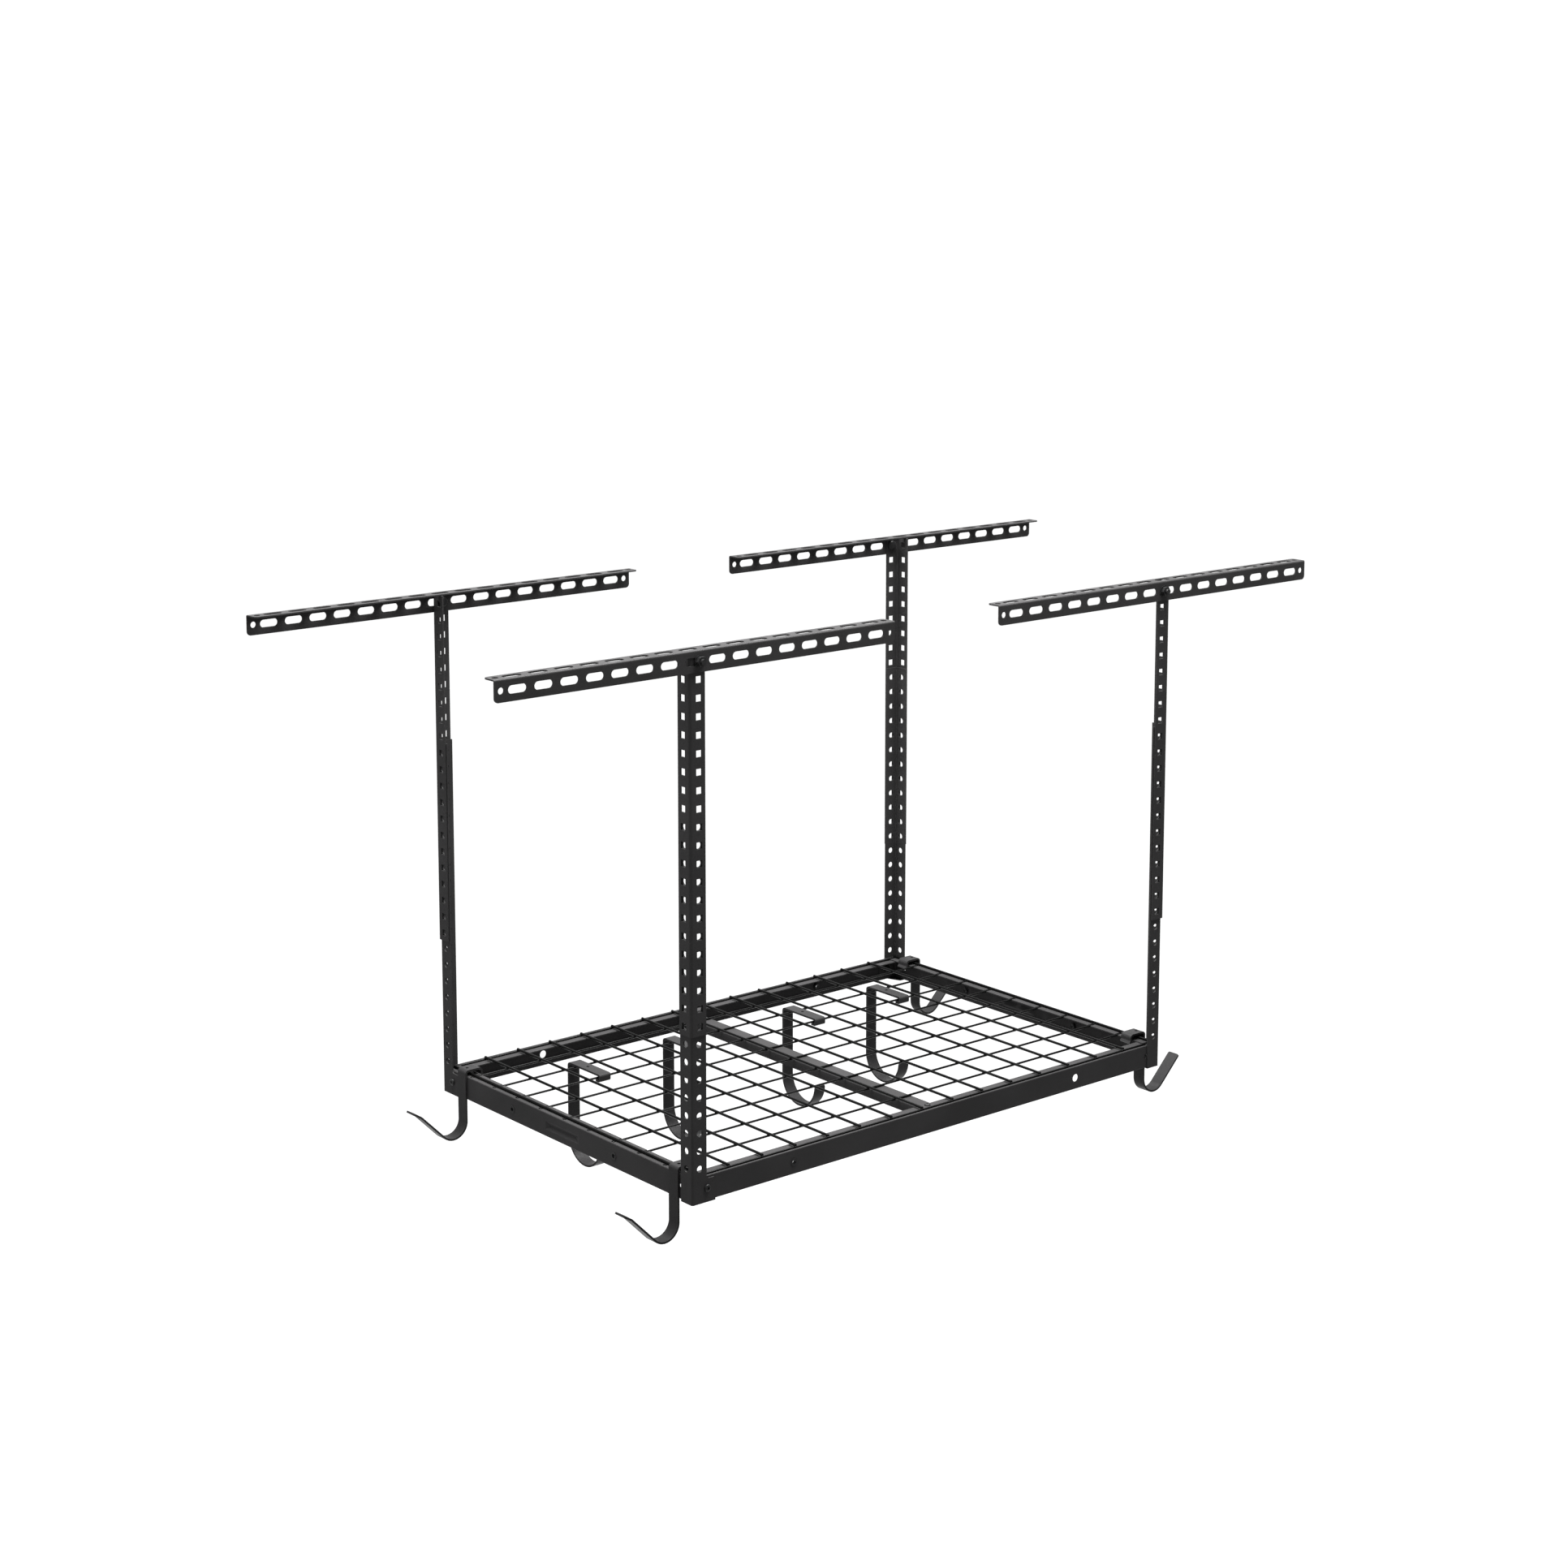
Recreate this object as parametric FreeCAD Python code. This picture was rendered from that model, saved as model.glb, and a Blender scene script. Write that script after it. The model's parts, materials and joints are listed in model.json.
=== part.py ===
import FreeCAD, Part
import math
import os

from FreeCAD import Placement, Rotation, Vector

# Ceiling-mounted storage rack. Millimetres, +Z up, ceiling plane at Z = 0.
# X runs along the long side of the deck, Y along the short side.
# Each corner has two "corner planes": the mid planes of the upper post's two flanges.

# Overall layout
DECK_LENGTH = 921.0          # between corner planes along X
DECK_WIDTH = 615.0           # between corner planes along Y
CLEARANCE = 0.3              # running gap between pieces that slide past each other

# Ceiling brackets: slotted angle bars
BRACKET_LENGTH = 670.0
BRACKET_DROP = 30.0
BRACKET_FLANGE = 25.0
BRACKET_SHEET = 2.0
BRACKET_BEND = 1.5
BRACKET_CORNER = 6.0
BRACKET_INSET = 25.0         # bracket centre, inboard of the corner plane
SLOT_COUNT = 16
SLOT_PITCH = 40.0
SLOT_LENGTH = 28.5
SLOT_WIDTH = 11.0
SLOT_FROM_OUTER_FACE = 13.0
END_HOLE_OFFSET = 325.0
END_HOLE_DIAMETER = 9.0

# Posts: perforated angle bars, the lower one nests inside the upper one
HOLE_PITCH = 25.0
FIRST_HOLE_Z = -15.0
POST_SHEET = 2.0
POST_HOLE = 9.5
POST_HOLE_OFFSET = 14.5      # from the corner plane
UPPER_FLANGE_EDGE = 25.0
UPPER_BEND = 3.0
UPPER_HOLES = 21
UPPER_END_MARGIN = 12.5
LOWER_OFFSET = POST_SHEET + CLEARANCE
LOWER_FLANGE_EDGE = 26.3
LOWER_BEND = 2.0
LOWER_TOP_Z = -224.3
LOWER_BOTTOM_Z = -764.5
LOWER_FIRST_HOLE = 9
LOWER_LAST_HOLE = 28
FOOT_EDGE = 41.3             # the foot of one flange is wider
FOOT_TOP_Z = -731.0
FOOT_ROOT = 4.5
FOOT_CORNER = 3.0
SEAT_SHEET = 1.2             # shelf under the beam's end, on the other flange
SEAT_NEAR = 21.0
SEAT_FAR = 12.0
FOOT_HOLE_X = 27.0
FOOT_HOLE_Z = -744.3
FOOT_HOLE_DIAMETER = 6.6

# Deck beams: folded sheet
BEAM_SHEET = 1.5
BEAM_FACE = LOWER_OFFSET + POST_SHEET / 2
BEAM_WEB = BEAM_FACE + BEAM_SHEET / 2
BEAM_END_GAP = 6.6
BEAM_BOTTOM_Z = -763.2
HEM_TOP_Z = -753.5
HEM_BEND = 0.85
LONG_BEAM_TOP_Z = -727.5
GROOVE_FLOOR_Z = -731.5
GROOVE_BEND = 1.0
GROOVE_INNER_WALL = 15.25
LEDGE_TOP_Z = -728.7
LEDGE_EDGE = 27.0
END_BEAM_TOP_Z = -727.1
END_BEAM_BEND = 1.2
END_BEAM_FLANGE_EDGE = 24.3
TAB_TOP_Z = -734.5
TAB_BOTTOM_Z = -752.5
TAB_REACH = 42.0
TAB_BEND = 1.25
SPARE_HOLE_OFFSET = 29.0
BEAM_HOLE_OFFSET = 182.5
BEAM_HOLE_Z = -745.6
RIVET_NUT_HOLE = 9.0
BEAM_HOLE_LARGE = 12.0
NOTCH_WIDTH = 6.5
NOTCH_ROOT = 5.2
BEAD_LENGTH = 82.0           # stiffening bead pressed into the end beams
BEAD_HEIGHT = 12.8
BEAD_DEPTH = 3.0
BEAD_END = 11.0
BEAD_CREST = 1.0
BEAD_Z = -746.1

# Wire deck
LONG_WIRE_DIAMETER = 3.2     # wires along X, underneath
CROSS_WIRE_DIAMETER = 4.0    # wires along Y, on top
LONG_WIRES = 11
CROSS_WIRES = 16
LONG_WIRE_BORDER = 11.0
CROSS_WIRE_BORDER = 11.75
LONG_WIRE_END = 6.0
CROSS_WIRE_END = 9.6
CROSS_WIRE_Z = -725.0
LONG_WIRE_Z = -728.3         # lets the wires sink 0.3 into each other at each weld
WIRE_END_CHAMFER = 0.5

# Centre crossbar
CROSSBAR_WEB_X = -22.25
CROSSBAR_FLANGE_X = 3.0
CROSSBAR_TOP_Z = LEDGE_TOP_Z - BEAM_SHEET
CROSSBAR_BOTTOM_Z = -745.0
CROSSBAR_BEND = 2.0
CROSSBAR_END_INSET = 16.5
CROSSBAR_SCREW_X = -9.5
CROSSBAR_SCREW_INSET = 21.6
CROSSBAR_HOLE_DIAMETER = 5.4

# Corner hooks
CORNER_BAR_WIDTH = 20.5
HOOK_BAR = 3.0
CLIP_TOP_Z = -717.5
CLIP_SPAN = 31.0
CLIP_BEND = 4.5
CLIP_LIP_Z = -727.5
CLIP_CURL = 4.0
CLIP_HOLE_INSET = 10.0
CLIP_HOLE_DIAMETER = 5.0
J_CENTRE_Z = -796.0
J_RADIUS = 23.5              # on the bar's centre line
J_ARM_LENGTH = 56.0
J_ARM_ANGLE = 45.0
J_TIP_LENGTH = 16.0
J_TIP_ANGLE = 31.0
J_TIP_BEND = 10.0
J_END_ROUND = 2.5
FRONT_HOOK_Y = 31.6          # near edge, from the front corner plane
REAR_HOOK_Y = 43.0           # near edge, from the rear corner plane
FOOT_HOOK_Y = 33.0           # near edge of the hook that passes outside a wide foot
FOOT_HOOK_OFFSET = 2.0

# Utility hooks that hang through the deck
UTILITY_BAR_WIDTH = 20.0
UTILITY_TOP_Z = -723.4
UTILITY_LIP_Y = 420.7        # outer face of the lip, from the front corner plane
UTILITY_STRAP_Y = 503.8      # outer face of the strap
UTILITY_LIP_DROP = 12.0
UTILITY_LIP_RETURN = 11.0
UTILITY_CLIP_BEND = 2.2
UTILITY_STRAP_BEND = 4.5
UTILITY_J_CENTRE_Z = -835.8
UTILITY_ARM_Z = -833.0
UTILITY_HOLE_Y = 465.0
UTILITY_END_ROUND = 7.0
UTILITY_HOOK_X = {
    "utility_hook_1": 153.3,
    "utility_hook_2": 334.8,
    "utility_hook_3": 576.8,
    "utility_hook_4": 756.8,
}

# Fasteners
M8_SHANK = 8.0
M8_FLATS = 13.0
M8_NUT_HEIGHT = 6.5
M8_NUT_FLANGE_DIAMETER = 17.0
M8_NUT_FLANGE_HEIGHT = 1.5
M8_HEAD_DIAMETER = 16.0
M8_HEAD_HEIGHT = 4.0
M8_NECK = 9.1
M8_BOLT_LENGTH = 14.0
M6_SHANK = 6.0
M6_FLATS = 10.0
M6_NUT_HEIGHT = 5.0
M6_HEAD_DIAMETER = 10.5
M6_HEAD_HEIGHT = 3.0
M6_BOLT_LENGTH = 12.0
M5_SHANK = 5.0
M5_FLATS = 8.0
M5_NUT_HEIGHT = 4.0
M5_HEAD_DIAMETER = 9.0
M5_HEAD_HEIGHT = 2.2
M5_SCREW_LENGTH = 9.0
RIVET_NUT_FLANGE = 11.0
RIVET_NUT_RIM = 0.8
RIVET_NUT_BODY = 8.8
RIVET_NUT_LENGTH = 5.2
RIVET_NUT_BULGE = 2.6
RIVET_NUT_BORE = 6.4
SOCKET_DEPTH = 0.5           # share of a round head's height

TINY = 1e-6
PAST = 1.0                   # how far a cutting tool runs past a face

ALONG_Z = Rotation()
ALONG_X = Rotation(Vector(1, 1, 1), 120)     # profile X, Y become Y, Z
ALONG_Y = Rotation(Vector(1, 0, 0), 90)      # profile X, Y become X, Z; width runs to -Y

CORNERS = {
    "front_left": (Vector(-DECK_LENGTH / 2, -DECK_WIDTH / 2, 0), 0),
    "front_right": (Vector(DECK_LENGTH / 2, -DECK_WIDTH / 2, 0), 90),
    "rear_right": (Vector(DECK_LENGTH / 2, DECK_WIDTH / 2, 0), 180),
    "rear_left": (Vector(-DECK_LENGTH / 2, DECK_WIDTH / 2, 0), 270),
}


def save(name, shape):
    shape.exportStep("parts/" + name + ".step")


def moved(shape, position, rotation=ALONG_Z):
    result = shape.copy()
    result.Placement = Placement(position, rotation).multiply(result.Placement)
    return result


def at_corner(shape, corner):
    position, turn = CORNERS[corner]
    return moved(shape, position, Rotation(Vector(0, 0, 1), turn))


def left_normal(direction):
    return Vector(-direction.y, direction.x, 0)


def side_line(path, radii, offset):
    """Edges of the line that runs beside a filleted path, offset to its left."""
    first = (path[1] - path[0]).normalize()
    here = path[0] + left_normal(first) * offset
    start = here
    edges = []
    for i, radius in enumerate(radii, start=1):
        before = (path[i] - path[i - 1]).normalize()
        after = (path[i + 1] - path[i]).normalize()
        turn = before.getAngle(after)
        sense = 1 if before.cross(after).z > 0 else -1
        set_back = radius * math.tan(turn / 2)
        entry = path[i] - before * set_back
        leave = path[i] + after * set_back
        centre = entry + left_normal(before) * sense * radius
        outwards = (left_normal(before) + left_normal(after)).normalize() * -sense
        arc_start = entry + left_normal(before) * offset
        arc_middle = centre + outwards * (radius - sense * offset)
        arc_end = leave + left_normal(after) * offset
        if here.distanceToPoint(arc_start) > TINY:
            edges.append(Part.LineSegment(here, arc_start).toShape())
        edges.append(Part.Arc(arc_start, arc_middle, arc_end).toShape())
        here = arc_end
    last = (path[-1] - path[-2]).normalize()
    end = path[-1] + left_normal(last) * offset
    if here.distanceToPoint(end) > TINY:
        edges.append(Part.LineSegment(here, end).toShape())
    return edges, start, end


def bent_strip(points, radii, thickness, width):
    """Sheet of even thickness bent along a centre line in XY, with its width along +Z."""
    path = [Vector(x, y, 0) for x, y in points]
    left, left_start, left_end = side_line(path, radii, thickness / 2)
    right, right_start, right_end = side_line(path, radii, -thickness / 2)
    caps = [
        Part.LineSegment(left_start, right_start).toShape(),
        Part.LineSegment(left_end, right_end).toShape(),
    ]
    outline = Part.Wire(Part.__sortEdges__(left + right + caps))
    return Part.Face(outline).extrude(Vector(0, 0, width))


def rod(start, direction, length, diameter):
    return Part.makeCylinder(diameter / 2, length, start, direction)


def hole_along_y(x, z, diameter, reach):
    """Round drill through a flange that lies across Y, starting outside the corner plane."""
    start = Vector(x, -reach, z)
    return rod(start, Vector(0, 1, 0), 2 * reach, diameter)


def slot_solid(length, width, depth):
    """Upright oblong along X, centred on the origin, from Z = 0 up to depth."""
    straight = length - width
    body = Part.makeBox(straight, width, depth, Vector(-straight / 2, -width / 2, 0))
    ends = [
        rod(Vector(side * straight / 2, 0, 0), Vector(0, 0, 1), depth, width)
        for side in (-1, 1)
    ]
    return body.multiFuse(ends).removeSplitter()


def round_edges(shape, keep, radius):
    chosen = [edge for edge in shape.Edges if keep(edge)]
    return shape.makeFillet(radius, chosen)


def middle(edge):
    return edge.valueAt((edge.FirstParameter + edge.LastParameter) / 2)


def hex_prism(flats, height):
    corner = flats / math.sqrt(3)
    points = []
    for i in range(7):
        angle = math.radians(60 * i)
        points.append(Vector(corner * math.cos(angle), corner * math.sin(angle), 0))
    prism = Part.Face(Part.makePolygon(points)).extrude(Vector(0, 0, height))
    cone_top = corner - 0.7
    cone = Part.makeCone(cone_top + height, cone_top, height)
    return prism.common(cone)


# ---------------------------------------------------------------- ceiling brackets

def ceiling_bracket():
    """Front bracket, centred on X = 0, with the corner plane at Y = 0."""
    outer = -POST_SHEET / 2 - BRACKET_SHEET
    wall = outer + BRACKET_SHEET / 2
    path = [
        (outer + BRACKET_FLANGE, -BRACKET_SHEET / 2),
        (wall, -BRACKET_SHEET / 2),
        (wall, -BRACKET_DROP),
    ]
    bar = bent_strip(path, [BRACKET_BEND], BRACKET_SHEET, BRACKET_LENGTH)
    bar = moved(bar, Vector(-BRACKET_LENGTH / 2, 0, 0), ALONG_X)

    def is_outer_corner(edge):
        at_end = abs(abs(middle(edge).x) - BRACKET_LENGTH / 2) < TINY
        low = middle(edge).z < 1 - BRACKET_DROP
        inner = middle(edge).y > outer + BRACKET_FLANGE - 1
        return at_end and abs(edge.Length - BRACKET_SHEET) < TINY and (low or inner)

    bar = round_edges(bar, is_outer_corner, BRACKET_CORNER)
    slot = slot_solid(SLOT_LENGTH, SLOT_WIDTH, BRACKET_SHEET + 2 * PAST)
    slot_y = outer + SLOT_FROM_OUTER_FACE
    cutters = []
    for i in range(SLOT_COUNT):
        x = (i - (SLOT_COUNT - 1) / 2) * SLOT_PITCH
        cutters.append(moved(slot, Vector(x, slot_y, -BRACKET_SHEET - PAST)))
        cutters.append(moved(slot, Vector(x, outer + BRACKET_SHEET + PAST, FIRST_HOLE_Z), ALONG_Y))
    for side in (-1, 1):
        x = side * END_HOLE_OFFSET
        drill = BRACKET_SHEET + 2 * PAST
        top = Vector(x, slot_y, PAST)
        front = Vector(x, outer - PAST, FIRST_HOLE_Z)
        cutters.append(rod(top, Vector(0, 0, -1), drill, END_HOLE_DIAMETER))
        cutters.append(rod(front, Vector(0, 1, 0), drill, END_HOLE_DIAMETER))
    return bar.cut(cutters)


def build_brackets():
    bracket = ceiling_bracket()
    x = DECK_LENGTH / 2 - BRACKET_INSET
    y = DECK_WIDTH / 2
    back_to_front = Rotation(Vector(0, 0, 1), 180)
    save("ceiling_bracket_front_left", moved(bracket, Vector(-x, -y, 0)))
    save("ceiling_bracket_front_right", moved(bracket, Vector(x, -y, 0)))
    save("ceiling_bracket_rear_left", moved(bracket, Vector(-x, y, 0), back_to_front))
    save("ceiling_bracket_rear_right", moved(bracket, Vector(x, y, 0), back_to_front))


# ---------------------------------------------------------------- posts

def upper_post():
    top = FIRST_HOLE_Z + UPPER_END_MARGIN
    height = (UPPER_HOLES - 1) * HOLE_PITCH + 2 * UPPER_END_MARGIN
    path = [(UPPER_FLANGE_EDGE, 0), (0, 0), (0, UPPER_FLANGE_EDGE)]
    post = bent_strip(path, [UPPER_BEND], POST_SHEET, height)
    post = moved(post, Vector(0, 0, top - height))
    depth = POST_SHEET + 2 * PAST
    low = POST_HOLE_OFFSET - POST_HOLE / 2
    cutters = []
    for i in range(UPPER_HOLES):
        z = FIRST_HOLE_Z - i * HOLE_PITCH - POST_HOLE / 2
        cutters.append(Part.makeBox(POST_HOLE, depth, POST_HOLE, Vector(low, -depth / 2, z)))
        cutters.append(Part.makeBox(depth, POST_HOLE, POST_HOLE, Vector(-depth / 2, low, z)))
    return post.cut(cutters)


def foot_plate():
    """Widening at the foot of the flange that lies across Y."""
    low = Vector(UPPER_FLANGE_EDGE, LOWER_OFFSET - POST_SHEET / 2, LOWER_BOTTOM_Z)
    width = FOOT_EDGE - UPPER_FLANGE_EDGE
    height = FOOT_TOP_Z - LOWER_BOTTOM_Z
    plate = Part.makeBox(width, POST_SHEET, height, low)

    def is_top_corner(edge):
        place = middle(edge)
        return place.x > FOOT_EDGE - TINY and place.z > FOOT_TOP_Z - TINY

    return round_edges(plate, is_top_corner, FOOT_CORNER)


def is_foot_root(edge):
    """Inner corner where the flange's edge meets the top of the foot."""
    place = middle(edge)
    return abs(place.x - LOWER_FLANGE_EDGE) < TINY and abs(place.z - FOOT_TOP_Z) < TINY


def foot_seat():
    """Shelf bent inwards at the foot of the flange that lies across X."""
    inner = LOWER_OFFSET + POST_SHEET / 2
    outline = [
        (LOWER_OFFSET, inner),
        (SEAT_NEAR, inner),
        (SEAT_FAR, LOWER_FLANGE_EDGE),
        (LOWER_OFFSET, LOWER_FLANGE_EDGE),
    ]
    points = [Vector(x, y, LOWER_BOTTOM_Z) for x, y in outline]
    return Part.Face(Part.makePolygon(points + points[:1])).extrude(Vector(0, 0, SEAT_SHEET))


def lower_post():
    height = LOWER_TOP_Z - LOWER_BOTTOM_Z
    path = [
        (LOWER_FLANGE_EDGE, LOWER_OFFSET),
        (LOWER_OFFSET, LOWER_OFFSET),
        (LOWER_OFFSET, LOWER_FLANGE_EDGE),
    ]
    post = bent_strip(path, [LOWER_BEND], POST_SHEET, height)
    post = moved(post, Vector(0, 0, LOWER_BOTTOM_Z))
    post = post.fuse(foot_plate()).removeSplitter()
    post = round_edges(post, is_foot_root, FOOT_ROOT)
    post = post.fuse(foot_seat()).removeSplitter()
    reach = LOWER_OFFSET + POST_SHEET
    cutters = [hole_along_y(FOOT_HOLE_X, FOOT_HOLE_Z, FOOT_HOLE_DIAMETER, reach)]
    for i in range(LOWER_FIRST_HOLE, LOWER_LAST_HOLE + 1):
        z = FIRST_HOLE_Z - i * HOLE_PITCH
        cutters.append(hole_along_y(POST_HOLE_OFFSET, z, POST_HOLE, reach))
        start = Vector(-reach, POST_HOLE_OFFSET, z)
        cutters.append(rod(start, Vector(1, 0, 0), 2 * reach, POST_HOLE))
    return post.cut(cutters)


def build_posts():
    upper = upper_post()
    lower = lower_post()
    for corner in CORNERS:
        save("upper_post_" + corner, at_corner(upper, corner))
        save("lower_post_" + corner, at_corner(lower, corner))


# ---------------------------------------------------------------- beams

def end_tab(span):
    """Tab at the far end, bent round behind the next beam, with its bolt hole."""
    height = TAB_TOP_Z - TAB_BOTTOM_Z
    tab_x = span - BEAM_FACE - 1.5 * BEAM_SHEET
    path = [
        (span - BEAM_END_GAP - 2 * BEAM_SHEET, BEAM_WEB),
        (tab_x, BEAM_WEB),
        (tab_x, TAB_REACH),
    ]
    tab = bent_strip(path, [TAB_BEND], BEAM_SHEET, height)
    tab = moved(tab, Vector(0, 0, TAB_BOTTOM_Z))
    start = Vector(tab_x - BEAM_SHEET, FOOT_HOLE_X, FOOT_HOLE_Z)
    return tab.cut(rod(start, Vector(1, 0, 0), 2 * BEAM_SHEET, FOOT_HOLE_DIAMETER))


def folded_beam(span, upper_path, upper_radii, holes):
    """Web with a hem at the foot; upper_path carries the sheet on from the web's top."""
    hem_leaf = BEAM_WEB + 2 * HEM_BEND
    foot = BEAM_BOTTOM_Z + BEAM_SHEET / 2
    path = [(hem_leaf, HEM_TOP_Z), (hem_leaf, foot), (BEAM_WEB, foot)] + upper_path
    radii = [HEM_BEND, HEM_BEND] + upper_radii
    beam = bent_strip(path, radii, BEAM_SHEET, span - 2 * BEAM_END_GAP)
    beam = moved(beam, Vector(BEAM_END_GAP, 0, 0), ALONG_X)
    beam = beam.fuse(end_tab(span)).removeSplitter()
    reach = hem_leaf
    return beam.cut([hole_along_y(x, z, diameter, reach) for x, z, diameter in holes])


def bolt_holes(span):
    return [
        (FOOT_HOLE_X, FOOT_HOLE_Z, FOOT_HOLE_DIAMETER),
        (span - SPARE_HOLE_OFFSET, FOOT_HOLE_Z, FOOT_HOLE_DIAMETER),
    ]


def screw_hole(x, y):
    start = Vector(x, y, LEDGE_TOP_Z + PAST)
    return rod(start, Vector(0, 0, -1), 2 * BEAM_SHEET + 2 * PAST, CROSSBAR_HOLE_DIAMETER)


def long_beam(screw_x):
    """Long beam, from the corner at its left end; screw_x places the crossbar's screw."""
    crown = LONG_BEAM_TOP_Z - BEAM_SHEET / 2
    inner_leaf = BEAM_WEB + 2 * HEM_BEND
    floor = GROOVE_FLOOR_Z - BEAM_SHEET / 2
    ledge = LEDGE_TOP_Z - BEAM_SHEET / 2
    path = [
        (BEAM_WEB, crown),
        (inner_leaf, crown),
        (inner_leaf, floor),
        (GROOVE_INNER_WALL, floor),
        (GROOVE_INNER_WALL, ledge),
        (LEDGE_EDGE, ledge),
    ]
    radii = [HEM_BEND, HEM_BEND, GROOVE_BEND, GROOVE_BEND, GROOVE_BEND]
    holes = bolt_holes(DECK_LENGTH)
    holes.append((BEAM_HOLE_OFFSET, BEAM_HOLE_Z, RIVET_NUT_HOLE))
    holes.append((DECK_LENGTH - BEAM_HOLE_OFFSET, BEAM_HOLE_Z, BEAM_HOLE_LARGE))
    beam = folded_beam(DECK_LENGTH, path, radii, holes)
    return beam.cut(screw_hole(screw_x, CROSSBAR_SCREW_INSET))


def long_wire_positions():
    pitch = (DECK_WIDTH - 2 * LONG_WIRE_BORDER) / (LONG_WIRES - 1)
    return [LONG_WIRE_BORDER + i * pitch for i in range(LONG_WIRES)]


def cross_wire_positions():
    pitch = (DECK_LENGTH - 2 * CROSS_WIRE_BORDER) / (CROSS_WIRES - 1)
    return [CROSS_WIRE_BORDER + i * pitch for i in range(CROSS_WIRES)]


def bead(base_y):
    """Long low pyramid that grows along +Y from its base."""
    centre = DECK_WIDTH / 2
    half = BEAD_LENGTH / 2
    return Part.makeWedge(
        centre - half, base_y, BEAD_Z - BEAD_HEIGHT / 2,
        BEAD_Z - BEAD_CREST / 2, centre - half + BEAD_END,
        centre + half, base_y + BEAD_DEPTH, BEAD_Z + BEAD_HEIGHT / 2,
        BEAD_Z + BEAD_CREST / 2, centre + half - BEAD_END,
    )


def end_beam():
    """End beam: a notched top flange takes the wire ends, a pressed bead stiffens the web."""
    flange = END_BEAM_TOP_Z - BEAM_SHEET / 2
    path = [(BEAM_WEB, flange), (END_BEAM_FLANGE_EDGE, flange)]
    holes = bolt_holes(DECK_WIDTH)
    holes.append((BEAM_HOLE_OFFSET, BEAM_HOLE_Z, RIVET_NUT_HOLE))
    holes.append((DECK_WIDTH - BEAM_HOLE_OFFSET, BEAM_HOLE_Z, RIVET_NUT_HOLE))
    beam = folded_beam(DECK_WIDTH, path, [END_BEAM_BEND], holes)
    beam = beam.fuse(bead(BEAM_FACE + BEAM_SHEET))
    cutters = [bead(BEAM_FACE)]
    for x in long_wire_positions():
        reach = END_BEAM_FLANGE_EDGE - NOTCH_ROOT + PAST
        low = Vector(x - NOTCH_WIDTH / 2, NOTCH_ROOT, flange - BEAM_SHEET)
        notch = Part.makeBox(NOTCH_WIDTH, reach, 3 * BEAM_SHEET, low)
        notch = round_edges(notch, is_notch_root, 1.5)
        cutters.append(notch)
    return beam.cut(cutters)


def is_notch_root(edge):
    upright = abs(edge.tangentAt(edge.FirstParameter).z) > 0.9
    return upright and abs(middle(edge).y - NOTCH_ROOT) < TINY


def build_beams():
    from_left = DECK_LENGTH / 2 + CROSSBAR_SCREW_X
    save("front_long_beam", at_corner(long_beam(from_left), "front_left"))
    save("rear_long_beam", at_corner(long_beam(DECK_LENGTH - from_left), "rear_right"))
    save("right_end_beam", at_corner(end_beam(), "front_right"))
    save("left_end_beam", at_corner(end_beam(), "rear_left"))


def build_crossbar():
    top = CROSSBAR_TOP_Z - BEAM_SHEET / 2
    path = [
        (CROSSBAR_WEB_X, CROSSBAR_BOTTOM_Z),
        (CROSSBAR_WEB_X, top),
        (CROSSBAR_FLANGE_X, top),
    ]
    length = DECK_WIDTH - 2 * CROSSBAR_END_INSET
    bar = bent_strip(path, [CROSSBAR_BEND], BEAM_SHEET, length)
    bar = moved(bar, Vector(0, length / 2, 0), ALONG_Y)
    y = DECK_WIDTH / 2 - CROSSBAR_SCREW_INSET
    holes = [screw_hole(CROSSBAR_SCREW_X, side * y) for side in (-1, 1)]
    save("centre_crossbar", bar.cut(holes))


# ---------------------------------------------------------------- wire deck

def wire(start, direction, length, diameter):
    body = rod(start, direction, length, diameter)
    rims = [edge for edge in body.Edges if edge.Length < 2 * math.pi * diameter and edge.isClosed()]
    return body.makeChamfer(WIRE_END_CHAMFER, rims)


def build_wire_deck():
    left = -DECK_LENGTH / 2
    front = -DECK_WIDTH / 2
    wires = []
    for y in long_wire_positions():
        start = Vector(left + LONG_WIRE_END, front + y, LONG_WIRE_Z)
        length = DECK_LENGTH - 2 * LONG_WIRE_END
        wires.append(wire(start, Vector(1, 0, 0), length, LONG_WIRE_DIAMETER))
    for x in cross_wire_positions():
        start = Vector(left + x, front + CROSS_WIRE_END, CROSS_WIRE_Z)
        length = DECK_WIDTH - 2 * CROSS_WIRE_END
        wires.append(wire(start, Vector(0, 1, 0), length, CROSS_WIRE_DIAMETER))
    save("wire_deck", wires[0].multiFuse(wires[1:]))


# ---------------------------------------------------------------- hooks

def round_bar_end(shape, end, width, radius):
    """Round the two corners of a flat bar's free end."""
    def is_corner(edge):
        near = middle(edge).distanceToPoint(end) < 0.55 * width
        return near and abs(edge.Length - HOOK_BAR) < TINY
    return round_edges(shape, is_corner, radius)


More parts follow.
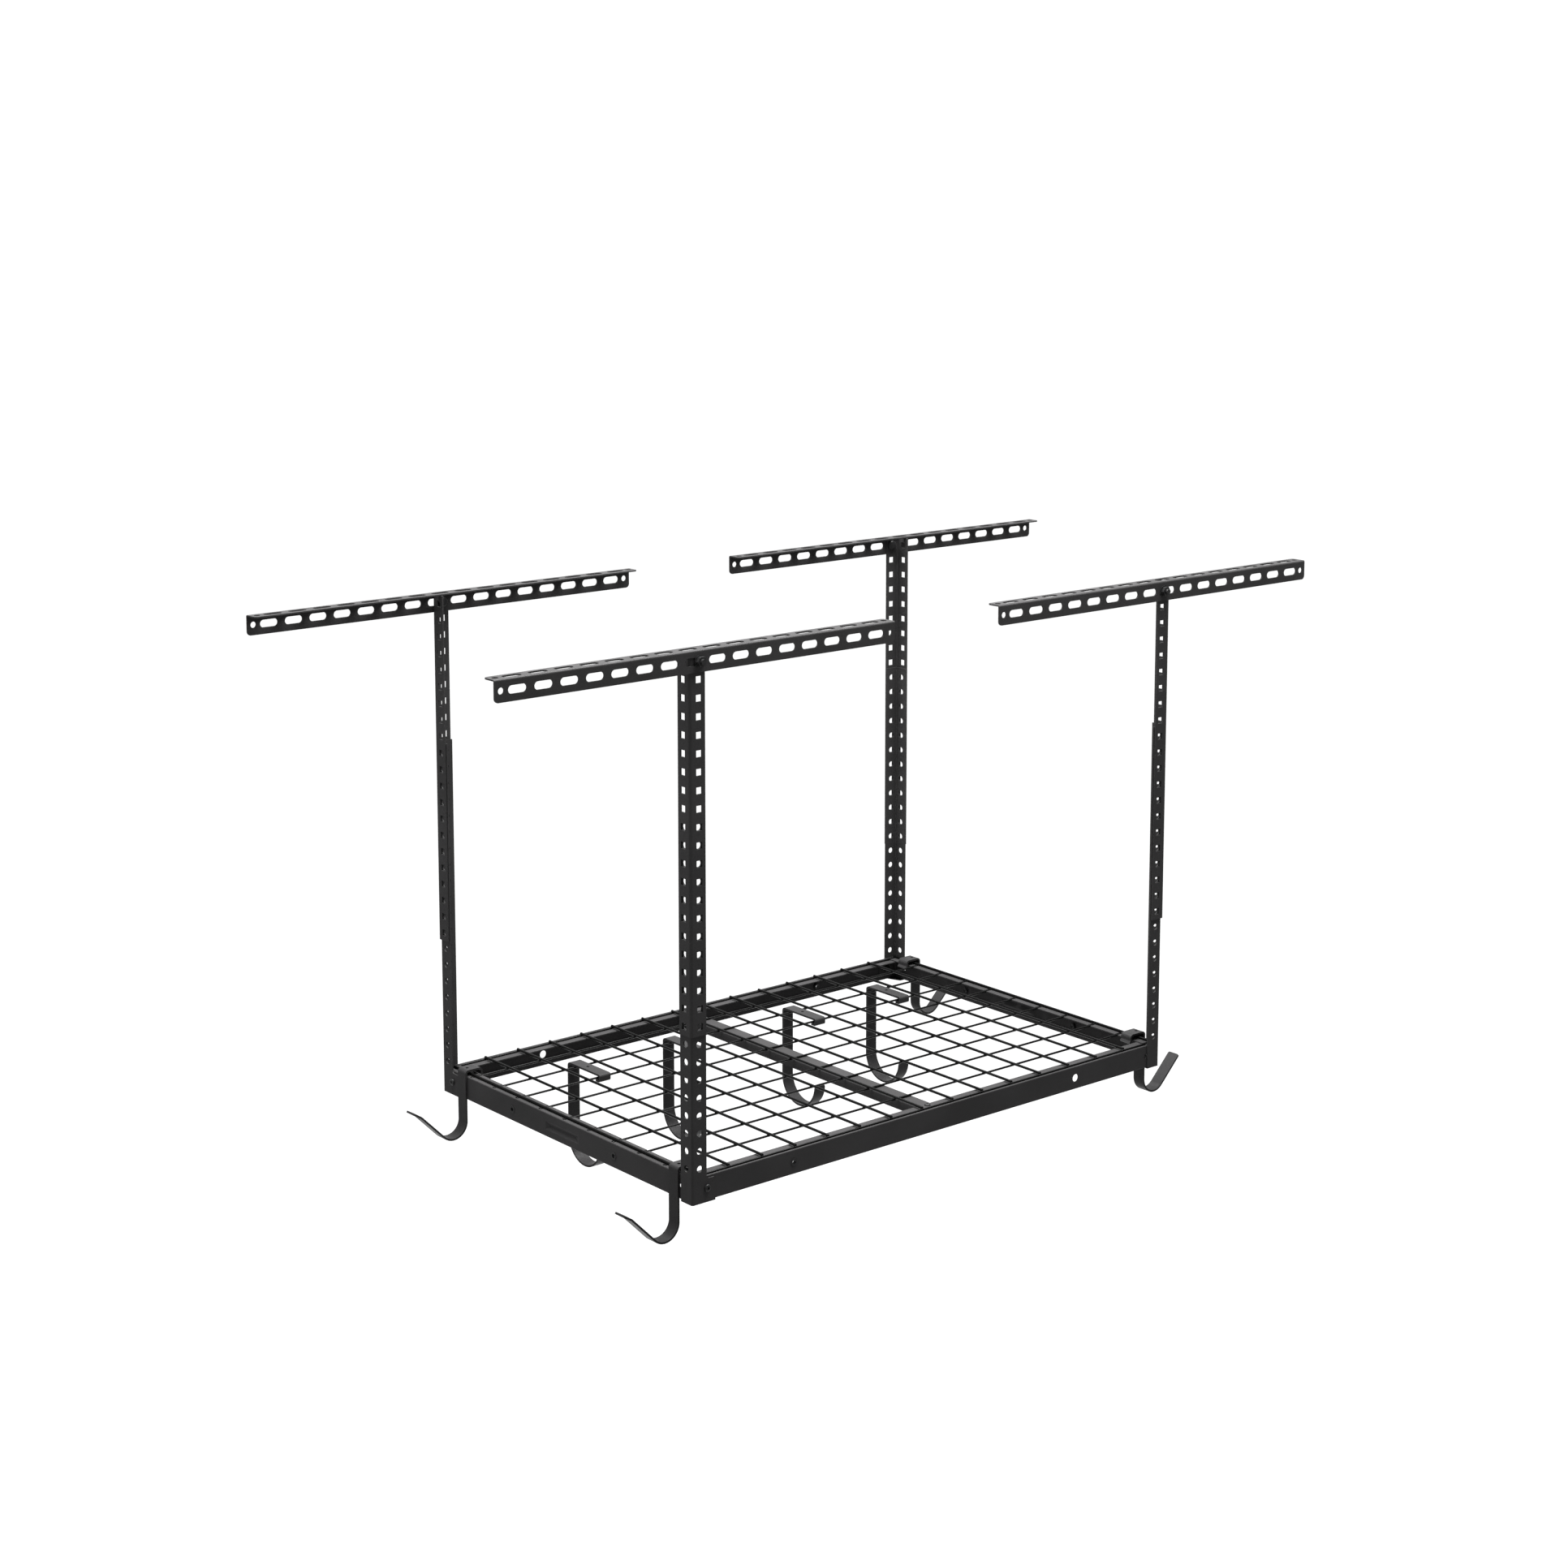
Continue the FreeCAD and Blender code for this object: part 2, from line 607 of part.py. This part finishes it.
def corner_hook(outward, with_tip):
    """Left-hand hook: corner plane at X = 0, outwards is -X, width from Y = 0 to +Y."""
    half = HOOK_BAR / 2
    strap_x = half - outward
    clip_x = CLIP_SPAN - half
    curl = CLIP_CURL * math.sqrt(0.5)
    arm = math.radians(J_ARM_ANGLE)
    tip = math.radians(J_TIP_ANGLE)
    # The bend's tangents meet below its centre line.
    reach = J_RADIUS * math.tan((math.pi / 2 + arm) / 2 / 2)
    middle_sweep = (math.pi / 2 + arm) / 2
    knee_one = Vector(strap_x, J_CENTRE_Z - reach, 0)
    knee_two = knee_one + Vector(-math.sin(middle_sweep), -math.cos(middle_sweep), 0) * 2 * reach
    arm_way = Vector(-math.cos(arm), math.sin(arm), 0)
    elbow = knee_two + arm_way * (reach + J_ARM_LENGTH)
    path = [
        (clip_x + curl, CLIP_LIP_Z - CLIP_CURL),
        (clip_x, CLIP_LIP_Z),
        (clip_x, CLIP_TOP_Z - half),
        (strap_x, CLIP_TOP_Z - half),
        (knee_one.x, knee_one.y),
        (knee_two.x, knee_two.y),
        (elbow.x, elbow.y),
    ]
    radii = [3.0, CLIP_BEND, CLIP_BEND, J_RADIUS, J_RADIUS]
    end = elbow
    if with_tip:
        end = elbow + Vector(-math.cos(tip), math.sin(tip), 0) * J_TIP_LENGTH
        path.append((end.x, end.y))
        radii.append(J_TIP_BEND)
    hook = bent_strip(path, radii, HOOK_BAR, CORNER_BAR_WIDTH)
    hook = moved(hook, Vector(0, CORNER_BAR_WIDTH, 0), ALONG_Y)
    end_point = Vector(end.x, CORNER_BAR_WIDTH / 2, end.y)
    hook = round_bar_end(hook, end_point, CORNER_BAR_WIDTH, J_END_ROUND)
    start = Vector(CLIP_HOLE_INSET - outward, CORNER_BAR_WIDTH / 2, CLIP_TOP_Z + PAST)
    return hook.cut(rod(start, Vector(0, 0, -1), HOOK_BAR + 2 * PAST, CLIP_HOLE_DIAMETER))


def build_corner_hooks():
    left = -DECK_LENGTH / 2
    front = -DECK_WIDTH / 2
    turn = Rotation(Vector(0, 0, 1), 180)
    front_y = front + FRONT_HOOK_Y
    rear_y = -front - REAR_HOOK_Y - CORNER_BAR_WIDTH
    foot_y = front + FOOT_HOOK_Y + CORNER_BAR_WIDTH
    left_hook = corner_hook(0, True)
    save("corner_hook_front_left", moved(left_hook, Vector(left, front_y, 0)))
    save("corner_hook_rear_left", moved(left_hook, Vector(left, rear_y, 0)))
    rear_right = moved(corner_hook(0, False), Vector(-left, rear_y + CORNER_BAR_WIDTH, 0), turn)
    save("corner_hook_rear_right", rear_right)
    front_right = moved(corner_hook(FOOT_HOOK_OFFSET, False), Vector(-left, foot_y, 0), turn)
    save("corner_hook_front_right", front_right)


def utility_hook():
    """Flat bar hook, width from X = 0 to +X, Y from the front corner plane."""
    half = HOOK_BAR / 2
    lip = UTILITY_LIP_Y + half
    strap = UTILITY_STRAP_Y - half
    top = UTILITY_TOP_Z - half
    lip_foot = UTILITY_TOP_Z - UTILITY_LIP_DROP + half
    radius = (strap - lip) / 2
    bottom = UTILITY_J_CENTRE_Z - radius
    path = [
        (UTILITY_LIP_Y + UTILITY_LIP_RETURN, lip_foot),
        (lip, lip_foot),
        (lip, top),
        (strap, top),
        (strap, bottom),
        (lip, bottom),
        (lip, UTILITY_ARM_Z),
    ]
    bend = UTILITY_CLIP_BEND
    radii = [bend, bend, UTILITY_STRAP_BEND, radius, radius]
    hook = bent_strip(path, radii, HOOK_BAR, UTILITY_BAR_WIDTH)
    hook = moved(hook, Vector(0, 0, 0), ALONG_X)
    end_point = Vector(UTILITY_BAR_WIDTH / 2, lip, UTILITY_ARM_Z)
    hook = round_bar_end(hook, end_point, UTILITY_BAR_WIDTH, UTILITY_END_ROUND)
    start = Vector(UTILITY_BAR_WIDTH / 2, UTILITY_HOLE_Y, UTILITY_TOP_Z + PAST)
    return hook.cut(rod(start, Vector(0, 0, -1), HOOK_BAR + 2 * PAST, CLIP_HOLE_DIAMETER))


def build_utility_hooks():
    hook = utility_hook()
    for name, x in UTILITY_HOOK_X.items():
        save(name, moved(hook, Vector(x - DECK_LENGTH / 2, -DECK_WIDTH / 2, 0)))


# ---------------------------------------------------------------- fasteners

def domed_head(diameter, height):
    """Round head on Z = 0 with a rounded rim."""
    head = Part.makeCylinder(diameter / 2, height)
    rim = [edge for edge in head.Edges if edge.isClosed() and middle(edge).z > height / 2]
    return head.makeFillet(0.7 * height, rim)


def socket_head_screw(shank, length, head_diameter, head_height):
    """Head above Z = 0 with a hexagon socket, shank down to -length."""
    head = domed_head(head_diameter, head_height)
    stem = Part.makeCylinder(shank / 2, length, Vector(0, 0, -length))
    socket = hex_prism(0.6 * shank, head_height)
    socket = moved(socket, Vector(0, 0, head_height * (1 - SOCKET_DEPTH)))
    return head.fuse(stem).cut(socket)


def plain_nut(flats, height, bore):
    """Nut standing on Z = 0; its thread is plain and clears the shank."""
    nut = hex_prism(flats, height)
    return nut.cut(Part.makeCylinder(bore / 2, height + 2 * PAST, Vector(0, 0, -PAST)))


def carriage_bolt():
    """Head above Z = 0, square neck and shank below."""
    head = domed_head(M8_HEAD_DIAMETER, M8_HEAD_HEIGHT)
    neck_low = Vector(-M8_NECK / 2, -M8_NECK / 2, -POST_SHEET)
    neck = Part.makeBox(M8_NECK, M8_NECK, POST_SHEET, neck_low)
    stem = Part.makeCylinder(M8_SHANK / 2, M8_BOLT_LENGTH, Vector(0, 0, -M8_BOLT_LENGTH))
    return head.multiFuse([neck, stem]).removeSplitter()


def flange_nut():
    nut = plain_nut(M8_FLATS, M8_NUT_HEIGHT, M8_SHANK + 0.1)
    skirt = Part.makeCylinder(M8_NUT_FLANGE_DIAMETER / 2, M8_NUT_FLANGE_HEIGHT)
    skirt = skirt.cut(Part.makeCylinder((M8_SHANK + 0.1) / 2, M8_NUT_FLANGE_HEIGHT))
    return nut.fuse(skirt).removeSplitter()


def build_bracket_fasteners():
    inwards = Rotation(Vector(0, 0, 1), Vector(0, 1, 0))
    outwards = Rotation(Vector(0, 0, 1), Vector(0, -1, 0))
    x = DECK_LENGTH / 2 - POST_HOLE_OFFSET
    head_y = DECK_WIDTH / 2 - POST_SHEET / 2
    nut_y = DECK_WIDTH / 2 + POST_SHEET / 2 + BRACKET_SHEET
    bolts = []
    nuts = []
    for x_side in (-1, 1):
        for y_side, head_way, nut_way in ((-1, inwards, outwards), (1, outwards, inwards)):
            place = Vector(x_side * x, y_side * head_y, FIRST_HOLE_Z)
            bolts.append(moved(carriage_bolt(), place, head_way))
            place = Vector(x_side * x, y_side * nut_y, FIRST_HOLE_Z)
            nuts.append(moved(flange_nut(), place, nut_way))
    save("bracket_bolts", Part.makeCompound(bolts))
    save("bracket_nuts", Part.makeCompound(nuts))


def build_foot_fasteners():
    """One screw through the foot, the beam and the next beam's tab at each corner."""
    screw = socket_head_screw(M6_SHANK, M6_BOLT_LENGTH, M6_HEAD_DIAMETER, M6_HEAD_HEIGHT)
    face_y = LOWER_OFFSET - POST_SHEET / 2
    screw = moved(screw, Vector(FOOT_HOLE_X, face_y, FOOT_HOLE_Z), Rotation(Vector(1, 0, 0), 90))
    nut = plain_nut(M6_FLATS, M6_NUT_HEIGHT, M6_SHANK + 0.1)
    back_y = BEAM_FACE + 2 * BEAM_SHEET
    nut = moved(nut, Vector(FOOT_HOLE_X, back_y, FOOT_HOLE_Z), Rotation(Vector(1, 0, 0), -90))
    save("foot_screws", Part.makeCompound([at_corner(screw, corner) for corner in CORNERS]))
    save("foot_nuts", Part.makeCompound([at_corner(nut, corner) for corner in CORNERS]))


def rivet_nut():
    """Rim above Z = 0, collapsed collar behind the sheet, body below."""
    body = Part.makeCylinder(RIVET_NUT_BODY / 2, RIVET_NUT_LENGTH, Vector(0, 0, -RIVET_NUT_LENGTH))
    rim = Part.makeCylinder(RIVET_NUT_FLANGE / 2, RIVET_NUT_RIM)
    collar_foot = Vector(0, 0, -BEAM_SHEET - RIVET_NUT_BULGE)
    collar = Part.makeCylinder(RIVET_NUT_FLANGE / 2, RIVET_NUT_BULGE, collar_foot)
    nut = body.multiFuse([rim, collar]).removeSplitter()
    drill = rod(Vector(0, 0, PAST), Vector(0, 0, -1), RIVET_NUT_LENGTH + 2 * PAST, RIVET_NUT_BORE)
    return nut.cut(drill)


def build_rivet_nuts():
    """Threaded inserts in the beams' webs: one in each long beam, two in each end beam."""
    outwards = Rotation(Vector(1, 0, 0), 90)
    near = moved(rivet_nut(), Vector(BEAM_HOLE_OFFSET, BEAM_FACE, BEAM_HOLE_Z), outwards)
    far_x = DECK_WIDTH - BEAM_HOLE_OFFSET
    far = moved(rivet_nut(), Vector(far_x, BEAM_FACE, BEAM_HOLE_Z), outwards)
    nuts = [at_corner(near, corner) for corner in CORNERS]
    nuts.append(at_corner(far, "front_right"))
    nuts.append(at_corner(far, "rear_left"))
    save("beam_rivet_nuts", Part.makeCompound(nuts))


def build_crossbar_fasteners():
    screw = socket_head_screw(M5_SHANK, M5_SCREW_LENGTH, M5_HEAD_DIAMETER, M5_HEAD_HEIGHT)
    nut = plain_nut(M5_FLATS, M5_NUT_HEIGHT, M5_SHANK + 0.1)
    nut_z = CROSSBAR_TOP_Z - BEAM_SHEET
    y = DECK_WIDTH / 2 - CROSSBAR_SCREW_INSET
    upside_down = Rotation(Vector(1, 0, 0), 180)
    screws = []
    nuts = []
    for side in (-1, 1):
        screws.append(moved(screw, Vector(CROSSBAR_SCREW_X, side * y, LEDGE_TOP_Z)))
        nuts.append(moved(nut, Vector(CROSSBAR_SCREW_X, side * y, nut_z), upside_down))
    save("crossbar_screws", Part.makeCompound(screws))
    save("crossbar_nuts", Part.makeCompound(nuts))


os.makedirs("parts", exist_ok=True)
build_brackets()
build_posts()
build_beams()
build_crossbar()
build_wire_deck()
build_corner_hooks()
build_utility_hooks()
build_bracket_fasteners()
build_foot_fasteners()
build_rivet_nuts()
build_crossbar_fasteners()
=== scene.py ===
import json
import math

import bmesh
import bpy
from mathutils import Matrix, Vector
from mathutils.noise import noise as noise_value


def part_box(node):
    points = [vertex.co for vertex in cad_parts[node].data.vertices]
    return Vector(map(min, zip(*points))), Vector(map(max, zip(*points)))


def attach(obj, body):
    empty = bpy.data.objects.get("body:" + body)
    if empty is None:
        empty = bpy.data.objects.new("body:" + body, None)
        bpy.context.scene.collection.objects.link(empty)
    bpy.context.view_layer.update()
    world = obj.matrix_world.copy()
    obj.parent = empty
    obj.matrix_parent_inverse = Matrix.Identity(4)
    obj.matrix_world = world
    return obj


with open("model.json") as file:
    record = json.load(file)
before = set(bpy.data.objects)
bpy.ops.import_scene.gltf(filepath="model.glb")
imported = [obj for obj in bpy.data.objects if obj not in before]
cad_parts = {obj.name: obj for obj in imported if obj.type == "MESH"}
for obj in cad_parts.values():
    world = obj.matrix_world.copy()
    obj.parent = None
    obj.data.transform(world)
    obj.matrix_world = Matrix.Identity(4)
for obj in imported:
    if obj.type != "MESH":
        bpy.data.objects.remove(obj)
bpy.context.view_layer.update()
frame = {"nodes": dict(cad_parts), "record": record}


# ---------------------------------------------------------------- materials
# Noise scales are per metre.

CLOUD_SCALE = 9.0             # broad clouding of the tone
CLOUD_DETAIL = 4.0
PEEL_DETAIL = 2.0             # orange peel, at the scale each finish gives as its grain
PEEL_ROUGHNESS = 0.4
PEEL_IN_TONE = 0.6            # the peel's share in the clouding
TONE_START = 0.62             # clouding value where the tone begins to lighten
PATCH_SCALE = 38.0            # patches of different gloss
PATCH_DETAIL = 3.0
SPECK_SCALE = 1.7             # specks in the peel, as a multiple of the grain
SPECK_IN_BUMP = 0.35          # the specks' share in the relief
BUMP_STRENGTH = 0.7


def new_material(name):
    material = bpy.data.materials.new(name)
    material.use_nodes = True
    nodes = material.node_tree.nodes
    shader = nodes["Principled BSDF"]
    return material, nodes, material.node_tree.links, shader


def ramp(nodes, stops):
    node = nodes.new("ShaderNodeValToRGB")
    elements = node.color_ramp.elements
    while len(elements) < len(stops):
        elements.new(0.5)
    for element, (position, colour) in zip(elements, stops):
        element.position = position
        element.color = (*colour, 1)
    return node


def noise(nodes, links, coords, scale, detail, rough=0.55):
    node = nodes.new("ShaderNodeTexNoise")
    node.inputs["Scale"].default_value = scale
    node.inputs["Detail"].default_value = detail
    node.inputs["Roughness"].default_value = rough
    links.new(coords.outputs["Object"], node.inputs["Vector"])
    return node


def value_range(nodes, links, source, low, high):
    node = nodes.new("ShaderNodeMapRange")
    node.inputs["To Min"].default_value = low
    node.inputs["To Max"].default_value = high
    links.new(source, node.inputs["Value"])
    return node.outputs["Result"]


def scaled_sum(nodes, links, scaled, factor, added):
    """scaled * factor + added, where scaled and added are sockets."""
    node = nodes.new("ShaderNodeMath")
    node.operation = "MULTIPLY_ADD"
    node.inputs[1].default_value = factor
    links.new(scaled, node.inputs[0])
    links.new(added, node.inputs[2])
    return node.outputs["Value"]


def powder_coat(name, dark, light, rough_low, rough_high, grain, grain_depth, gloss_level):
    """Coated steel: fine orange peel, faint clouding of tone and gloss."""
    material, nodes, links, shader = new_material(name)
    coords = nodes.new("ShaderNodeTexCoord")

    cloud = noise(nodes, links, coords, CLOUD_SCALE, CLOUD_DETAIL)
    peel = noise(nodes, links, coords, grain, PEEL_DETAIL, PEEL_ROUGHNESS)
    mottle = scaled_sum(nodes, links, peel.outputs["Fac"], PEEL_IN_TONE, cloud.outputs["Fac"])
    tone = ramp(nodes, [(TONE_START, dark), (1.0, light)])
    links.new(mottle, tone.inputs["Fac"])
    links.new(tone.outputs["Color"], shader.inputs["Base Color"])

    patches = noise(nodes, links, coords, PATCH_SCALE, PATCH_DETAIL)
    gloss = value_range(nodes, links, patches.outputs["Fac"], rough_low, rough_high)
    links.new(gloss, shader.inputs["Roughness"])

    specks = nodes.new("ShaderNodeTexVoronoi")
    specks.inputs["Scale"].default_value = grain * SPECK_SCALE
    links.new(coords.outputs["Object"], specks.inputs["Vector"])
    heights = scaled_sum(nodes, links, specks.outputs["Distance"], SPECK_IN_BUMP, peel.outputs["Fac"])
    bump = nodes.new("ShaderNodeBump")
    bump.inputs["Strength"].default_value = BUMP_STRENGTH
    bump.inputs["Distance"].default_value = grain_depth
    links.new(heights, bump.inputs["Height"])
    links.new(bump.outputs["Normal"], shader.inputs["Normal"])

    shader.inputs["Specular IOR Level"].default_value = gloss_level
    return material


sheet_steel = powder_coat(
    "sheet_powder_coat",
    dark=(0.0096, 0.0094, 0.0095), light=(0.0126, 0.0123, 0.0125),
    rough_low=0.38, rough_high=0.5,
    grain=900.0, grain_depth=0.00012, gloss_level=0.02,
)
bar_steel = powder_coat(
    "bar_powder_coat",
    dark=(0.0068, 0.0067, 0.0068), light=(0.0088, 0.0086, 0.0088),
    rough_low=0.34, rough_high=0.46,
    grain=900.0, grain_depth=0.00012, gloss_level=0.03,
)
wire_steel = powder_coat(
    "wire_powder_coat",
    dark=(0.0006, 0.0006, 0.0006), light=(0.0012, 0.0012, 0.0012),
    rough_low=0.24, rough_high=0.34,
    grain=1100.0, grain_depth=0.00008, gloss_level=0.04,
)
fastener_steel = powder_coat(
    "fastener_black_oxide",
    dark=(0.0040, 0.0040, 0.0041), light=(0.0065, 0.0065, 0.0066),
    rough_low=0.26, rough_high=0.36,
    grain=1400.0, grain_depth=0.00006, gloss_level=0.08,
)

finishes = {
    "frame_steel": sheet_steel,
    "hook_bar": bar_steel,
    "wire": wire_steel,
    "fasteners": fastener_steel,
}
slot_of = {part["node"]: part["material_slot"] for part in frame["record"]["subparts"]}
for node, piece in frame["nodes"].items():
    material = finishes[slot_of[node]]
    if not piece.material_slots:
        piece.data.materials.append(material)
    for slot in piece.material_slots:
        slot.material = material


# ---------------------------------------------------------------- wire deck welds

LONG_WIRES = 11               # wires along X, underneath
CROSS_WIRES = 16              # wires along Y, on top
LONG_WIRE_INSET = 0.0014      # outermost long wire, from the tips of the cross wires
CROSS_WIRE_INSET = 0.00575    # outermost cross wire, from the tips of the long wires
LONG_WIRE_DIAMETER = 0.0032
WIRE_SINK = 0.0003            # how far the crossing wires melt into each other
NUGGET_RADII = (0.0027, 0.0023, 0.00095)
RIPPLE_SCALE = 900.0          # ripples on a nugget, per metre
RIPPLE_DEPTH = 0.16           # as a share of the nugget's own radius
TURN_LIMIT = 0.35             # radians that a nugget may be turned either way
TURN_STEPS = (2.3, 4.1)       # what the turn's wave advances by, per row and per column
SWELL_LIMIT = 0.1             # share by which a nugget may be larger or smaller
SWELL_STEPS = (5.7, 1.9)


def spread(low, high, count):
    return [low + (high - low) * i / (count - 1) for i in range(count)]


def wave(steps, row, column):
    """A number from -1 to 1 that differs between neighbouring welds."""
    return math.sin(steps[0] * row + steps[1] * column)


def weld_nugget(mesh, centre, turn, swell):
    """One resistance weld: a small flat collar of upset metal where two wires cross."""
    length, width, height = NUGGET_RADII
    size = Matrix.Diagonal((length * swell, width * swell, height, 1.0))
    place = Matrix.Translation(centre) @ Matrix.Rotation(turn, 4, "Z") @ size
    ball = bmesh.ops.create_icosphere(mesh, subdivisions=2, radius=1.0, matrix=place)
    for vertex in ball["verts"]:
        ripple = noise_value(vertex.co * RIPPLE_SCALE)
        vertex.co += (vertex.co - centre) * RIPPLE_DEPTH * ripple


def build_welds():
    """All the deck's welds, as one mesh."""
    low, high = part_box("wire_deck")
    rows = spread(low[1] + LONG_WIRE_INSET, high[1] - LONG_WIRE_INSET, LONG_WIRES)
    columns = spread(low[0] + CROSS_WIRE_INSET, high[0] - CROSS_WIRE_INSET, CROSS_WIRES)
    z = low[2] + LONG_WIRE_DIAMETER - WIRE_SINK / 2
    mesh = bmesh.new()
    for row, y in enumerate(rows):
        for column, x in enumerate(columns):
            turn = TURN_LIMIT * wave(TURN_STEPS, row, column)
            swell = 1.0 + SWELL_LIMIT * wave(SWELL_STEPS, row, column)
            weld_nugget(mesh, Vector((x, y, z)), turn, swell)
    for face in mesh.faces:
        face.smooth = True
    data = bpy.data.meshes.new("wire_deck_welds")
    mesh.to_mesh(data)
    mesh.free()
    welds = bpy.data.objects.new("wire_deck_welds", data)
    bpy.context.scene.collection.objects.link(welds)
    welds.data.materials.append(wire_steel)
    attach(welds, "deck")


build_welds()


# ---------------------------------------------------------------- stage

FLOOR_HALF = 60.0             # half the floor's width
FLOOR_Z = -6.0                # far below the rack, so that little light bounces onto its sides
FLOOR_MOTTLE_SCALE = 2.5
FLOOR_MOTTLE_DETAIL = 3.0
FLOOR_ROUGHNESS = 0.9
FLOOR_GREYS = ((0.3, 0.94), (0.7, 0.96))
WORLD_GREYS = ((0.0, 1.0), (0.45, 1.08), (0.6, 1.12))    # from the front (-Y) to the back (+Y)
RACK_CENTRE = (0, 0, -0.5)
SENSOR_WIDTH = 36.0
LENS = 66.0062
SHIFT_UP = -0.15
CLIP_END = 200.0
CAMERA_PLACE = (-2.73956, -3.24310, 0.68971)
CAMERA_HEADING = 0.8772       # radians from +X towards +Y
CAMERA_PITCH = -0.1481        # radians above the horizon


def greys(stops):
    return [(position, (level, level, level)) for position, level in stops]


def floor_material():
    material, nodes, links, shader = new_material("pale_floor")
    coords = nodes.new("ShaderNodeTexCoord")
    mottle = noise(nodes, links, coords, FLOOR_MOTTLE_SCALE, FLOOR_MOTTLE_DETAIL)
    tone = ramp(nodes, greys(FLOOR_GREYS))
    links.new(mottle.outputs["Fac"], tone.inputs["Fac"])
    links.new(tone.outputs["Color"], shader.inputs["Base Color"])
    shader.inputs["Roughness"].default_value = FLOOR_ROUGHNESS
    return material


def build_floor():
    near, far, z = -FLOOR_HALF, FLOOR_HALF, FLOOR_Z
    mesh = bpy.data.meshes.new("floor")
    corners = [(near, near, z), (far, near, z), (far, far, z), (near, far, z)]
    mesh.from_pydata(corners, [], [(0, 1, 2, 3)])
    floor = bpy.data.objects.new("floor", mesh)
    bpy.context.scene.collection.objects.link(floor)
    floor.data.materials.append(floor_material())


def build_world():
    """White cyclorama: even light, a little less from the front of the rack."""
    world = bpy.data.worlds.new("studio")
    bpy.context.scene.world = world
    world.use_nodes = True
    nodes = world.node_tree.nodes
    links = world.node_tree.links
    background = nodes["Background"]
    coords = nodes.new("ShaderNodeTexCoord")
    split = nodes.new("ShaderNodeSeparateXYZ")
    links.new(coords.outputs["Generated"], split.inputs["Vector"])
    tone = ramp(nodes, greys(WORLD_GREYS))
    side = nodes.new("ShaderNodeMath")    # turns -1 to 1 into 0 to 1
    side.operation = "MULTIPLY_ADD"
    side.inputs[1].default_value = 0.5
    side.inputs[2].default_value = 0.5
    links.new(split.outputs["Y"], side.inputs[0])
    links.new(side.outputs["Value"], tone.inputs["Fac"])
    links.new(tone.outputs["Color"], background.inputs["Color"])
    background.inputs["Strength"].default_value = 1.0


def area_light(name, place, size, power):
    """Rectangular softbox, aimed at the rack."""
    data = bpy.data.lights.new(name, "AREA")
    data.shape = "RECTANGLE"
    data.size, data.size_y = size
    data.energy = power
    light = bpy.data.objects.new(name, data)
    bpy.context.scene.collection.objects.link(light)
    light.location = place
    way = Vector(RACK_CENTRE) - Vector(place)
    light.rotation_euler = way.to_track_quat("-Z", "Y").to_euler()


def build_lights():
    area_light("top_softbox", place=(0.1, 0.1, 2.2), size=(3.2, 2.5), power=1500)
    area_light("left_softbox", place=(-3.6, 0.4, 0.9), size=(2.4, 2.4), power=75)


def build_camera():
    data = bpy.data.cameras.new("camera")
    camera = bpy.data.objects.new("camera", data)
    bpy.context.scene.collection.objects.link(camera)
    data.sensor_width = SENSOR_WIDTH
    data.lens = LENS
    data.shift_y = SHIFT_UP
    data.clip_end = CLIP_END
    camera.location = CAMERA_PLACE
    level = math.cos(CAMERA_PITCH)
    ahead = Vector((
        math.cos(CAMERA_HEADING) * level,
        math.sin(CAMERA_HEADING) * level,
        math.sin(CAMERA_PITCH),
    ))
    camera.rotation_euler = ahead.to_track_quat("-Z", "Y").to_euler()
    bpy.context.scene.camera = camera


build_floor()
build_world()
build_lights()
build_camera()
bpy.context.scene.view_settings.view_transform = "Standard"
